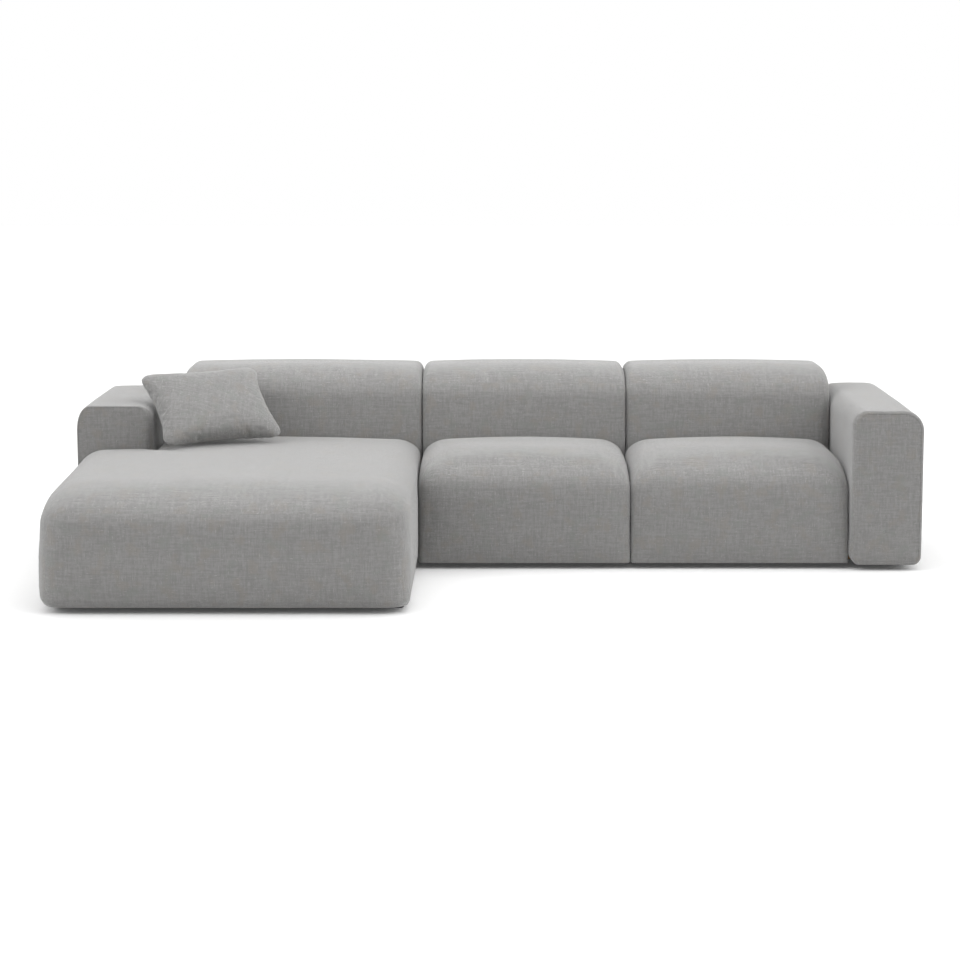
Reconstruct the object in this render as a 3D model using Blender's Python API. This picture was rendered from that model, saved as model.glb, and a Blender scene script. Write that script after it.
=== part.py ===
"""Corner sofa: three upholstered timber elements hooked together, and one loose scatter cushion.

Metres, +Z up. The sofa faces -Y, and +X runs to the right of someone who looks at its front.
The origin is on the floor, in the middle of the footprint.
"""

import math

import bmesh
import bpy
from mathutils import Euler, Vector
from mathutils.bvhtree import BVHTree

# Widths of the elements, from the left
LEFT_ARM_WIDTH = 0.293
RIGHT_ARM_WIDTH = 0.27
CHAISE_SEAT = 1.012
MIDDLE_SEAT = 0.791
RIGHT_SEAT = 0.812

# Depths, from the front
CHAISE_REACH = 0.89
SEAT_DEPTH = 0.57
BACK_DEPTH = 0.41
LEFT_ARM_LENGTH = 0.73
ARM_LEAD = 0.03
CHAISE_TAPER = 0.04
BACK_END_TAPER = 0.068
BACK_SHIFT = 0.010

# Heights above the floor
FLOOR_GAP = 0.0225
SEAT_HEIGHT = 0.433
LEFT_ARM_HEIGHT = 0.592
RIGHT_ARM_HEIGHT = 0.604
BACK_HEIGHT = 0.700
TAPER_RISE = 0.19

# Upholstery: how far each form swells, and the radii of its edges. An edge with a reach and a fall is
# oval: it starts that far from the side and ends that far below the top.
SEAT_CROWN = 0.016
BACK_CROWN = 0.008
ARM_CROWN = 0.006
JOINT_SWELL = 0.003
SIDE_SWELL = 0.005
FRONT_SWELL = 0.010
BACK_LEAN = 0.035
SEAT_FRONT_REACH = 0.30
SEAT_FRONT_FALL = 0.125
SEAT_SIDE_REACH = 0.10
SEAT_SIDE_FALL = 0.075
CHAISE_OUTER_EDGE = 0.11
CHAISE_INNER_EDGE = 0.04
SEAT_CORNER = 0.022
CHAISE_CORNER = 0.085
BACK_FRONT_EDGE = 0.07
BACK_REAR_EDGE = 0.05
BACK_JOINT_EDGE = 0.035
BACK_END_EDGE = 0.048
BACK_CORNER = 0.03
BACK_END_CORNER = 0.05
BACK_REAR_CORNER = 0.03
ARM_EDGE = 0.055
LEFT_ARM_OUTER_REACH = 0.05
LEFT_ARM_OUTER_FALL = 0.088
RIGHT_ARM_OUTER_EDGE = 0.082
ARM_FRONT_EDGE = 0.022
ARM_CORNER = 0.035
HIDDEN_EDGE = 0.015
CHAISE_HEM_EDGE = 0.03
HEM_EDGE = 0.012

# Padding between the frames and the fabric
FRONT_PAD = 0.06
SIDE_PAD = 0.04
JOINT_PAD = 0.022
REAR_PAD = 0.035
TOP_PAD = 0.06
BACK_FOAM = 0.11
ARM_PAD = 0.035

# Timber frame
RAIL_BOTTOM = 0.030
RAIL_HEIGHT = 0.16
RAIL_THICKNESS = 0.035
TENON_HEIGHT = 0.08
CHAMFER = 0.002
BOARD = 0.018
POST_PITCH = 0.29

# Webbing and dust cloth
STRAP_WIDTH = 0.06
STRAP_PITCH = 0.13
STRAP_THICKNESS = 0.003
CLOTH_THICKNESS = 0.0008

# Glides
GLIDE_RADIUS = 0.022
GLIDE_EDGE = 0.003
GLIDE_SIDE_INSET = 0.024
GLIDE_END_INSET = 0.10
SCREW_RECESS_RADIUS = 0.006
SCREW_RECESS_DEPTH = 0.018

# Connectors: a swinging hook plate on one element, a headed catch pin on the next
HOOK_INSET = 0.28
HOOK_THICKNESS = 0.003
HOOK_HALF_WIDTH = 0.018
HOOK_CLEARANCE = 0.0005
PIN_RADIUS = 0.004
PIN_HEAD_RADIUS = 0.009
PIN_HEAD_THICKNESS = 0.003
PIN_FLANGE_RADIUS = 0.014
PIN_FLANGE_THICKNESS = 0.0025
PIN_DEPTH = 0.03
SLOT_OPENING_ANGLE = math.radians(24)

# Scatter cushion
CUSHION_WIDTH = 0.485
CUSHION_DEPTH = 0.385
CUSHION_THICKNESS = 0.14
CUSHION_CORNER = 0.045
CUSHION_PULL = 0.012
CUSHION_DOME_POWER = 2.4
CUSHION_RIM_POWER = 0.62
CUSHION_LEAN = math.radians(51.5)
CUSHION_TURN = math.radians(25)
CUSHION_FROM_ARM = 0.211
CUSHION_FROM_BACK = 0.2095

TOUCH = 0.0003
ARC_STEPS = 3
EDGE_STEPS = 4
SIDE_LEVELS = 4
CAP_RINGS = (0.8, 0.45)
CAP_FLATNESS = 3  # how soon a dip at the rim of the top fades out towards the crest
LONGEST_STEP = 0.11
SMALLEST_FILLET = 0.004
ROUND_STEPS = 20
CUSHION_STEPS = 7
CUTTER_REACH = 0.5

TOTAL_WIDTH = LEFT_ARM_WIDTH + CHAISE_SEAT + MIDDLE_SEAT + RIGHT_SEAT + RIGHT_ARM_WIDTH
TOTAL_DEPTH = CHAISE_REACH + SEAT_DEPTH + BACK_DEPTH
X_LEFT = -TOTAL_WIDTH / 2
X_LEFT_ARM = X_LEFT + LEFT_ARM_WIDTH
X_JOINT_1 = X_LEFT_ARM + CHAISE_SEAT
X_JOINT_2 = X_JOINT_1 + MIDDLE_SEAT
X_RIGHT_ARM = X_JOINT_2 + RIGHT_SEAT
X_RIGHT = X_RIGHT_ARM + RIGHT_ARM_WIDTH
Y_CHAISE = -TOTAL_DEPTH / 2
Y_SEAT = Y_CHAISE + CHAISE_REACH
Y_BACK = Y_SEAT + SEAT_DEPTH
Y_REAR = Y_BACK + BACK_DEPTH
Y_LEFT_ARM = Y_REAR - LEFT_ARM_LENGTH
RAIL_TOP = RAIL_BOTTOM + RAIL_HEIGHT
DECK_TOP = RAIL_TOP + STRAP_THICKNESS + 2 * TOUCH
CLOTH_TOP = RAIL_BOTTOM - TOUCH
CLOTH_BOTTOM = CLOTH_TOP - CLOTH_THICKNESS
FIXING_TOP = CLOTH_BOTTOM - TOUCH
HOOK_TOP = FIXING_TOP - PIN_FLANGE_THICKNESS - 2 * HOOK_CLEARANCE - HOOK_THICKNESS
HOOK_BOTTOM = HOOK_TOP - HOOK_THICKNESS
PIN_HEAD_TOP = HOOK_BOTTOM - HOOK_CLEARANCE

FINISHES = {
    "fabric": ((0.47, 0.46, 0.45), 0.95, 0.0),
    "timber": ((0.62, 0.45, 0.27), 0.6, 0.0),
    "plywood": ((0.70, 0.55, 0.36), 0.65, 0.0),
    "webbing": ((0.10, 0.10, 0.11), 0.85, 0.0),
    "dust_cloth": ((0.03, 0.03, 0.03), 0.9, 0.0),
    "plastic": ((0.02, 0.02, 0.02), 0.5, 0.0),
    "steel": ((0.62, 0.62, 0.62), 0.35, 1.0),
}


def clear_scene():
    for thing in list(bpy.data.objects):
        bpy.data.objects.remove(thing, do_unlink=True)


def finish_material(name):
    """The Principled material of one finish, made once."""
    if name in bpy.data.materials:
        return bpy.data.materials[name]
    colour, roughness, metallic = FINISHES[name]
    material = bpy.data.materials.new(name)
    material.use_nodes = True
    shader = material.node_tree.nodes["Principled BSDF"]
    shader.inputs["Base Color"].default_value = (*colour, 1.0)
    shader.inputs["Roughness"].default_value = roughness
    shader.inputs["Metallic"].default_value = metallic
    return material


def add_object(name, shape, origin=(0.0, 0.0, 0.0)):
    """Turns a bmesh, drawn in world space, into an object whose origin is at the given point."""
    bmesh.ops.recalc_face_normals(shape, faces=shape.faces)
    bmesh.ops.translate(shape, verts=shape.verts, vec=-Vector(origin))
    mesh = bpy.data.meshes.new(name)
    shape.to_mesh(mesh)
    shape.free()
    thing = bpy.data.objects.new(name, mesh)
    thing.location = origin
    bpy.context.scene.collection.objects.link(thing)
    return thing


def dress(thing, finish, smooth=False):
    thing.data.materials.append(finish_material(finish))
    if smooth:
        thing.data.shade_smooth()
        thing.data.set_sharp_from_angle(angle=math.radians(40))
    return thing


def as_helper(thing):
    """A helper shapes other pieces and isn't one itself."""
    thing.hide_render = True
    thing.display_type = "WIRE"
    return thing


def combine(thing, helpers, operation="DIFFERENCE"):
    for helper in helpers:
        modifier = thing.modifiers.new(helper.name, "BOOLEAN")
        modifier.operation = operation
        modifier.object = helper
    return thing


def add_box(shape, low, high):
    """Adds a box between two corners to a bmesh."""
    centre = (Vector(low) + Vector(high)) / 2
    size = Vector(high) - Vector(low)
    made = bmesh.ops.create_cube(shape, size=1.0)
    bmesh.ops.scale(shape, vec=size, verts=made["verts"])
    bmesh.ops.translate(shape, vec=centre, verts=made["verts"])


def boxes_cutter(name, boxes):
    shape = bmesh.new()
    for low, high in boxes:
        add_box(shape, low, high)
    return as_helper(add_object(name, shape))


def prism(name, outline, axis, start, end):
    """An outline of (u, v) points in the plane across axis, extruded from start to end."""
    others = [i for i in range(3) if i != axis]
    shape = bmesh.new()
    corners = []
    for u, v in outline:
        point = Vector((0.0, 0.0, 0.0))
        point[others[0]], point[others[1]], point[axis] = u, v, start
        corners.append(shape.verts.new(point))
    face = shape.faces.new(corners)
    pulled = bmesh.ops.extrude_face_region(shape, geom=[face])
    reach = Vector((0.0, 0.0, 0.0))
    reach[axis] = end - start
    moved = [v for v in pulled["geom"] if isinstance(v, bmesh.types.BMVert)]
    bmesh.ops.translate(shape, vec=reach, verts=moved)
    middle = sum((v.co for v in shape.verts), Vector()) / len(shape.verts)
    return add_object(name, shape, middle)


def turned(name, profile, x, y):
    """A piece turned round the upright line at x, y, from (radius, height) points that start and end on it."""
    shape = bmesh.new()
    rings = []
    for radius, height in profile:
        if radius == 0.0:
            rings.append([shape.verts.new((x, y, height))])
            continue
        angles = [2 * math.pi * step / ROUND_STEPS for step in range(ROUND_STEPS)]
        rings.append(
            [shape.verts.new((x + radius * math.cos(a), y + radius * math.sin(a), height)) for a in angles]
        )
    skin(shape, rings)
    return add_object(name, shape, (x, y, 0.0))


def skin(shape, rings):
    """Faces between neighbouring rings. A ring of one point closes the form."""
    for lower, upper in zip(rings, rings[1:]):
        count = max(len(lower), len(upper))
        for i in range(count):
            j = (i + 1) % count
            corners = [lower[i % len(lower)], lower[j % len(lower)], upper[j % len(upper)], upper[i % len(upper)]]
            shape.faces.new(list(dict.fromkeys(corners)))


def lattice(name, low, high, across, up, posts, rails, strip):
    """Crossing strips in the plane of axes across and up, with square gaps, as thick as the box is deep."""
    deep = 3 - across - up

    def edges(start, end, count):
        pitch = (end - start - strip) / (count - 1)
        return [start + pitch * (i // 2) + strip * (i % 2) for i in range(2 * count)]

    shape = bmesh.new()
    columns = edges(low[across], high[across], posts)
    rows = edges(low[up], high[up], rails)
    grid = []
    for u in columns:
        line = []
        for v in rows:
            point = Vector((0.0, 0.0, 0.0))
            point[across], point[up], point[deep] = u, v, low[deep]
            line.append(shape.verts.new(point))
        grid.append(line)
    faces = []
    for i in range(len(columns) - 1):
        for j in range(len(rows) - 1):
            if i % 2 == 0 or j % 2 == 0:
                corners = [grid[i][j], grid[i + 1][j], grid[i + 1][j + 1], grid[i][j + 1]]
                faces.append(shape.faces.new(corners))
    pulled = bmesh.ops.extrude_face_region(shape, geom=faces)
    reach = Vector((0.0, 0.0, 0.0))
    reach[deep] = high[deep] - low[deep]
    moved = [v for v in pulled["geom"] if isinstance(v, bmesh.types.BMVert)]
    bmesh.ops.translate(shape, vec=reach, verts=moved)
    return add_object(name, shape, (Vector(low) + Vector(high)) / 2)


def rounded_ring(corners, insets, radii):
    """Points round an outline of square corners, its sides moved in by the insets.

    Each point comes with the two sides that it lies between, and its share of the second.
    """
    count = len(corners)
    along = [(Vector(corners[(i + 1) % count]) - Vector(corners[i])) for i in range(count)]
    steps = [max(2, math.ceil(side.length / LONGEST_STEP)) for side in along]
    along = [side.normalized() for side in along]
    arcs = []
    for i in range(count):
        before, after = along[i - 1], along[i]
        turn = before.x * after.y - before.y * after.x
        inward = Vector((-before.y, before.x)) * insets[i - 1] + Vector((-after.y, after.x)) * insets[i]
        corner = Vector(corners[i]) + inward
        radius = max(radii[i] - turn * min(insets[i - 1], insets[i]), SMALLEST_FILLET)
        centre = corner + (after - before) * radius
        arc = []
        for step in range(ARC_STEPS + 1):
            share = step / ARC_STEPS
            angle = share * math.pi / 2
            point = centre - after * radius * math.cos(angle) + before * radius * math.sin(angle)
            arc.append((point, (i - 1) % count, i, share))
        arcs.append(arc)
    points = []
    for i in range(count):
        points += arcs[i]
        start, end = arcs[i][-1][0], arcs[(i + 1) % count][0][0]
        for step in range(1, steps[i]):
            share = (1 - math.cos(math.pi * step / steps[i])) / 2
            points.append((start.lerp(end, share), i, i, 0.0))
    return points


def distance_to_side(point, start, end):
    along = end - start
    share = min(1.0, max(0.0, (point - start).dot(along) / along.length_squared))
    return (point - start.lerp(end, share)).length


def depths(ring, corners, reaches, falls, share):
    """How far each point of a ring lies below the top of a form.

    That is its share of its own side's fall, and what the edges of the other sides take off near them.
    """
    sides = [(Vector(a), Vector(b)) for a, b in zip(corners, corners[1:] + corners[:1])]

    def depth(number):
        point, first, second, turned = ring[number]
        if 0 < turned < 1:
            start = number - round(turned * ARC_STEPS)
            return depth(start) * (1 - turned) + depth(start + ARC_STEPS) * turned
        own = second if turned else first
        total = falls[own] * share
        for i, side in enumerate(sides):
            if i != own:
                near = max(0.0, 1 - distance_to_side(point, *side) / reaches[i])
                total += falls[i] * (1 - math.sqrt(1 - near**2))
        return total

    return [depth(number) for number in range(len(ring))]


def padded_form(name, corners, top_edges, radii, top, warp, hem=HEM_EDGE, centre=None):
    """A stuffed, closed form over an outline, with rounded edges that a warp then swells and draws in.

    top_edges holds the radius of the top edge along each side, or its reach and its fall where it is
    oval, and radii the corners of the outline.
    """
    count = len(corners)
    top_edges = [edge if isinstance(edge, tuple) else (edge, edge) for edge in top_edges]
    reaches, falls = zip(*top_edges)
    middle = Vector(centre) if centre else sum((Vector(c) for c in corners), Vector((0, 0))) / count
    layers = []

    for step in range(EDGE_STEPS + 1):
        angle = step / EDGE_STEPS * math.pi / 2
        ring = rounded_ring(corners, [hem * (1 - math.sin(angle))] * count, radii)
        layers.append([(p[0], FLOOR_GAP + hem * (1 - math.cos(angle))) for p in ring])
    side = rounded_ring(corners, [0.0] * count, radii)
    side_depths = depths(side, corners, reaches, falls, 1.0)
    for level in range(1, SIDE_LEVELS):
        layer = []
        for p, depth in zip(side, side_depths):
            low, high = FLOOR_GAP + hem, top - depth
            layer.append((p[0], low + (high - low) * level / SIDE_LEVELS))
        layers.append(layer)
    for step in range(EDGE_STEPS + 1):
        angle = (1 - step / EDGE_STEPS) * math.pi / 2
        ring = rounded_ring(corners, [reach * (1 - math.sin(angle)) for reach in reaches], radii)
        below = depths(ring, corners, reaches, falls, 1 - math.cos(angle))
        layers.append([(p[0], top - depth) for p, depth in zip(ring, below)])
    last = layers[-1]
    crest = Vector(centre) if centre else sum((p for p, z in last), Vector((0, 0))) / len(last)
    for share in CAP_RINGS:
        layers.append([(crest.lerp(p, share), top - (top - z) * share**CAP_FLATNESS) for p, z in last])
    layers = [[(middle, FLOOR_GAP)]] + layers + [[(crest, top)]]
    shape = bmesh.new()
    skin(shape, [[shape.verts.new(warp(Vector((p.x, p.y, z)))) for p, z in layer] for layer in layers])
    return add_object(name, shape, (middle.x, middle.y, FLOOR_GAP))


def swelling(low, high, crown, draw):
    """A warp that crowns the top towards the rear and draws the sides in towards their edges.

    draw holds how far the left, right, front and rear side are drawn in from the box low to high.
    """
    middle = (Vector(low) + Vector(high)) / 2
    half = (Vector(high) - Vector(low)) / 2

    def warp(point):
        u, v, w = ((point[i] - middle[i]) / half[i] for i in range(3))
        fall = 1 - (1 - u**2) * (1 - min(v, 0.0) ** 2)
        drawn_x = (draw[0] if u < 0 else draw[1]) * (1 - (1 - v**4) * (1 - w**2))
        drawn_y = (draw[2] if v < 0 else draw[3]) * (1 - (1 - u**4) * (1 - w**2))
        return Vector(
            (
                point.x - u * abs(u) ** 3 * drawn_x,
                point.y - v * abs(v) ** 3 * drawn_y,
                point.z - crown * fall * max(w, 0.0) ** 2,
            )
        )

    return warp


def rectangle(x0, x1, y0, y1):
    return [(x0, y0), (x1, y0), (x1, y1), (x0, y1)]


class Element:
    """One upholstered unit: its frame's footprint, and the space that the frame takes up in the padding."""

    def __init__(self, name, left, right, front, left_pad, right_pad):
        self.name = name
        self.left, self.right, self.front = left, right, front
        self.x0, self.x1 = left + left_pad, right - right_pad
        self.y0, self.y1 = front + FRONT_PAD, Y_REAR - REAR_PAD
        self.cross_y = Y_BACK + BACK_FOAM
        low = (self.x0 - TOUCH, self.y0 - TOUCH, -CUTTER_REACH)
        high = (self.x1 + TOUCH, self.y1 + TOUCH, DECK_TOP)
        self.hollow = boxes_cutter(f"{name}_hollow", [(low, high)])
        self.fixings = []

    def glide_places(self):
        return [
            (x, y)
            for y in (self.y0 + GLIDE_END_INSET, self.y1 - GLIDE_END_INSET)
            for x in (self.x0 + GLIDE_SIDE_INSET, self.x1 - GLIDE_SIDE_INSET)
        ]


def tenoned_rail(name, along, across, start, end):
    """A rail between two others, with a tenon into each. along is 0 for X and 1 for Y."""
    low, high = start + TOUCH, end - TOUCH
    reach = RAIL_THICKNESS
    middle = RAIL_BOTTOM + RAIL_HEIGHT / 2
    shoulder_low, shoulder_high = middle - TENON_HEIGHT / 2, middle + TENON_HEIGHT / 2
    outline = [
        (low, RAIL_BOTTOM),
        (high, RAIL_BOTTOM),
        (high, shoulder_low),
        (end + reach, shoulder_low),
        (end + reach, shoulder_high),
        (high, shoulder_high),
        (high, RAIL_TOP),
        (low, RAIL_TOP),
        (low, shoulder_high),
        (start - reach, shoulder_high),
        (start - reach, shoulder_low),
        (low, shoulder_low),
    ]
    rail = dress(prism(name, outline, 1 - along, across, across + RAIL_THICKNESS), "timber")
    mortises = []
    for face in (start - reach, end):
        corner_low = [face - RAIL_THICKNESS, face - RAIL_THICKNESS, shoulder_low - TOUCH]
        corner_high = [face + 2 * RAIL_THICKNESS, face + 2 * RAIL_THICKNESS, shoulder_high + TOUCH]
        corner_low[1 - along] = across - TOUCH
        corner_high[1 - along] = across + RAIL_THICKNESS + TOUCH
        mortises.append((corner_low, corner_high))
    return rail, mortises


def plain_rail(name, x, y0, y1):
    shape = bmesh.new()
    add_box(shape, (x, y0, RAIL_BOTTOM), (x + RAIL_THICKNESS, y1, RAIL_TOP))
    middle = (x + RAIL_THICKNESS / 2, (y0 + y1) / 2, RAIL_BOTTOM)
    rail = dress(add_object(name, shape, middle), "timber")
    bevel = rail.modifiers.new("chamfer", "BEVEL")
    bevel.width = CHAMFER
    bevel.segments = 1
    return rail


def base_frame(element, bearer_x=None):
    """Side rails joined by front, cross and rear rails, and under an arm a bearer that takes the webbing."""
    name = element.name
    inner_x0, inner_x1 = element.x0 + RAIL_THICKNESS, element.x1 - RAIL_THICKNESS
    sides = [
        plain_rail(f"{name}_left_rail", element.x0, element.y0, element.y1),
        plain_rail(f"{name}_right_rail", inner_x1, element.y0, element.y1),
    ]
    places = {
        "front": element.y0 + CHAMFER,
        "cross": element.cross_y,
        "rear": element.y1 - RAIL_THICKNESS - CHAMFER,
    }
    crossing, mortises = {}, []
    for place, y in places.items():
        crossing[place], cuts = tenoned_rail(f"{name}_{place}_rail", 0, y, inner_x0, inner_x1)
        mortises += cuts
    cutter = boxes_cutter(f"{name}_mortises", mortises)
    for side in sides:
        combine(side, [cutter])
    element.webbing_x = (inner_x0 - RAIL_THICKNESS / 2, inner_x1 + RAIL_THICKNESS / 2)
    if bearer_x is not None:
        start = places["front"] + RAIL_THICKNESS
        _, cuts = tenoned_rail(f"{name}_arm_bearer", 1, bearer_x, start, places["cross"])
        cutter = boxes_cutter(f"{name}_bearer_mortises", cuts)
        combine(crossing["front"], [cutter])
        combine(crossing["cross"], [cutter])
        middle = bearer_x + RAIL_THICKNESS / 2
        at_left = middle < (element.x0 + element.x1) / 2
        element.webbing_x = (middle, element.webbing_x[1]) if at_left else (element.webbing_x[0], middle)
    element.webbing_y = (element.y0 + CHAMFER, places["cross"] + RAIL_THICKNESS)
    return sides


def seat_webbing(element):
    """Elastic straps crossing over the seat's opening, tacked to the rails."""
    (x0, x1), (y0, y1) = element.webbing_x, element.webbing_y
    z0 = RAIL_TOP + TOUCH
    posts = max(2, round((x1 - x0) / STRAP_PITCH))
    rails = max(2, round((y1 - y0) / STRAP_PITCH))
    y1 = min(y1, element.cross_y - TOUCH)
    low, high = (x0, y0, z0), (x1, y1, z0 + STRAP_THICKNESS)
    dress(lattice(f"{element.name}_webbing", low, high, 0, 1, posts, rails, STRAP_WIDTH), "webbing")


def dust_cloth(element):
    """Thin cloth tacked under the rails, pierced where a connector passes."""
    shape = bmesh.new()
    add_box(shape, (element.x0, element.y0, CLOTH_BOTTOM), (element.x1, element.y1, CLOTH_TOP))
    middle = ((element.x0 + element.x1) / 2, (element.y0 + element.y1) / 2, CLOTH_BOTTOM)
    cloth = dress(add_object(f"{element.name}_dust_cloth", shape, middle), "dust_cloth")
    combine(cloth, element.fixings)


def glides(element):
    """Low turned feet under the corners, recessed for a screw."""
    profile = [
        (0.0, FIXING_TOP),
        (GLIDE_RADIUS - GLIDE_EDGE, FIXING_TOP),
        (GLIDE_RADIUS, FIXING_TOP - GLIDE_EDGE),
        (GLIDE_RADIUS - GLIDE_EDGE / 2, GLIDE_EDGE),
        (GLIDE_RADIUS - 2 * GLIDE_EDGE, 0.0),
        (SCREW_RECESS_RADIUS, 0.0),
        (SCREW_RECESS_RADIUS, SCREW_RECESS_DEPTH),
        (0.0, SCREW_RECESS_DEPTH),
    ]
    for number, (x, y) in enumerate(element.glide_places(), 1):
        dress(turned(f"{element.name}_glide_{number}", profile, x, y), "plastic", smooth=True)


def carcass(name, low, high, across, posts, shelves):
    """A plywood lattice that stands on the base, and the helper that makes room for it in the padding."""
    dress(lattice(f"{name}_frame", low, high, across, 2, posts, shelves, BOARD), "plywood")
    grow = Vector((TOUCH, TOUCH, TOUCH))
    return boxes_cutter(f"{name}_hollow", [(Vector(low) - grow, Vector(high) + grow)])


def posts_along(length):
    return 1 + math.ceil(length / POST_PITCH)


def back(element, x0, x1, corners, side_edges, draw, taper=0.0):
    """The back's carcass on the rear of the base, and the padded back over it.

    The taper draws the upper part of the back's left end away from the arm.
    """
    low = (max(x0, element.x0) + JOINT_PAD + taper, element.cross_y, RAIL_TOP + TOUCH)
    high = (min(x1, element.x1) - JOINT_PAD, element.y1, BACK_HEIGHT - TOP_PAD)
    hollow = carcass(f"{element.name}_back", low, high, 0, posts_along(high[0] - low[0]), 3)
    x0, x1 = x0 + TOUCH / 2, x1 - TOUCH / 2
    y0, y1 = Y_BACK + TOUCH, Y_REAR
    swell = swelling((x0, y0, FLOOR_GAP), (x1, y1, BACK_HEIGHT), BACK_CROWN, draw)

    def warp(point):
        lean = max(0.0, (point.z - SEAT_HEIGHT) / (BACK_HEIGHT - SEAT_HEIGHT))
        drawn = min(1.0, max(0.0, (point.z - SEAT_HEIGHT) / TAPER_RISE))
        swollen = swell(point)
        swollen.x += taper * drawn * (x1 - point.x) / (x1 - x0)
        swollen.y += BACK_LEAN * lean * (y1 - point.y) / (y1 - y0)
        return swollen

    edges = [BACK_FRONT_EDGE, side_edges[1], BACK_REAR_EDGE, side_edges[0]]
    form = padded_form(f"{element.name}_back", rectangle(x0, x1, y0, y1), edges, corners, BACK_HEIGHT, warp)
    return combine(dress(form, "fabric", smooth=True), [element.hollow, hollow])


def seat(element, x0, x1):
    x0, x1, y0, y1 = x0 + TOUCH / 2, x1 - TOUCH / 2, element.front, Y_BACK
    draw = (JOINT_SWELL, JOINT_SWELL, FRONT_SWELL, 0.0)
    warp = swelling((x0, y0, FLOOR_GAP), (x1, y1, SEAT_HEIGHT), SEAT_CROWN, draw)
    front, side = (SEAT_FRONT_REACH, SEAT_FRONT_FALL), (SEAT_SIDE_REACH, SEAT_SIDE_FALL)
    edges = [front, side, HIDDEN_EDGE, side]
    radii = [SEAT_CORNER, SEAT_CORNER, HIDDEN_EDGE, HIDDEN_EDGE]
    form = padded_form(f"{element.name}_seat", rectangle(x0, x1, y0, y1), edges, radii, SEAT_HEIGHT, warp)
    combine(dress(form, "fabric", smooth=True), [element.hollow])


def chaise_seat(element):
    """The long seat, as wide as the arm in front of it, stepped back beside it and narrower at its front."""
    x0, x1 = X_LEFT, X_JOINT_1 - TOUCH / 2
    inner_x, step_y = X_LEFT_ARM + TOUCH, Y_LEFT_ARM - TOUCH
    corners = [(x0, Y_CHAISE), (x1, Y_CHAISE), (x1, Y_BACK), (inner_x, Y_BACK), (inner_x, step_y), (x0, step_y)]
    front, side = (SEAT_FRONT_REACH, SEAT_FRONT_FALL), (SEAT_SIDE_REACH, SEAT_SIDE_FALL)
    edges = [front, side, HIDDEN_EDGE, CHAISE_INNER_EDGE, HIDDEN_EDGE, CHAISE_OUTER_EDGE]
    radii = [CHAISE_CORNER, CHAISE_CORNER, HIDDEN_EDGE, HIDDEN_EDGE, HIDDEN_EDGE, SEAT_CORNER]
    draw = (SIDE_SWELL, JOINT_SWELL, FRONT_SWELL, 0.0)
    swell = swelling((x0, Y_CHAISE, FLOOR_GAP), (x1, Y_BACK, SEAT_HEIGHT), SEAT_CROWN, draw)

    def warp(point):
        ahead = max(0.0, (step_y - point.y) / (step_y - Y_CHAISE))
        swollen = swell(point)
        swollen.x += CHAISE_TAPER * ahead * (x1 - point.x) / (x1 - x0)
        return swollen

    middle = ((inner_x + x1) / 2, (Y_CHAISE + step_y) / 2)
    name, hem = f"{element.name}_seat", CHAISE_HEM_EDGE
    form = padded_form(name, corners, edges, radii, SEAT_HEIGHT, warp, hem, middle)
    return combine(dress(form, "fabric", smooth=True), [element.hollow])


def arm(element, x0, x1, y0, height, side_edges, draw):
    """An arm's carcass on the base, and the padded slab over it."""
    low = (max(x0 + ARM_PAD, element.x0), max(y0 + FRONT_PAD, element.y0), RAIL_TOP + TOUCH)
    high = (min(x1 - ARM_PAD, element.x1), element.y1, height - TOP_PAD)
    hollow = carcass(f"{element.name}_arm", low, high, 1, posts_along(high[1] - low[1]), 2)
    warp = swelling((x0, y0, FLOOR_GAP), (x1, Y_REAR, height), ARM_CROWN, draw)
    edges = [ARM_FRONT_EDGE, side_edges[1], ARM_EDGE, side_edges[0]]
    outline = rectangle(x0, x1, y0, Y_REAR)
    form = padded_form(f"{element.name}_arm", outline, edges, [ARM_CORNER] * 4, height, warp)
    return combine(dress(form, "fabric", smooth=True), [element.hollow, hollow])


def round_cutter(name, x, y, radius):
    """A drill for the rail and the cloth where a pin or a spindle goes up."""
    top, bottom = RAIL_BOTTOM + PIN_DEPTH + TOUCH, CLOTH_BOTTOM - CLOTH_THICKNESS
    return as_helper(turned(name, [(0.0, top), (radius, top), (radius, bottom), (0.0, bottom)], x, y))


def hook_outline(length):
    """A bar with two round ends, from the spindle to just past the catch pin."""
    points = []
    for centre, start in ((length, -math.pi / 2), (0.0, math.pi / 2)):
        for step in range(ROUND_STEPS // 2 + 1):
            angle = start + math.pi * step / (ROUND_STEPS // 2)
            points.append(
                (centre + HOOK_HALF_WIDTH * math.cos(angle), HOOK_HALF_WIDTH * math.sin(angle))
            )
    return points


def slot_outline(length):
    """The slot follows the circle on which the catch pin leaves the hook, and opens through one edge."""
    half = PIN_RADIUS + HOOK_CLEARANCE
    arc = [-SLOT_OPENING_ANGLE * (1 - step / ARC_STEPS) for step in range(ARC_STEPS + 1)]
    outer = [((length + half) * math.cos(a), (length + half) * math.sin(a)) for a in arc]
    turns = [math.pi * step / (ROUND_STEPS // 2) for step in range(1, ROUND_STEPS // 2)]
    end = [(length + half * math.cos(a), half * math.sin(a)) for a in turns]
    inner = [((length - half) * math.cos(a), (length - half) * math.sin(a)) for a in reversed(arc)]
    return outer + end + inner


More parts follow.
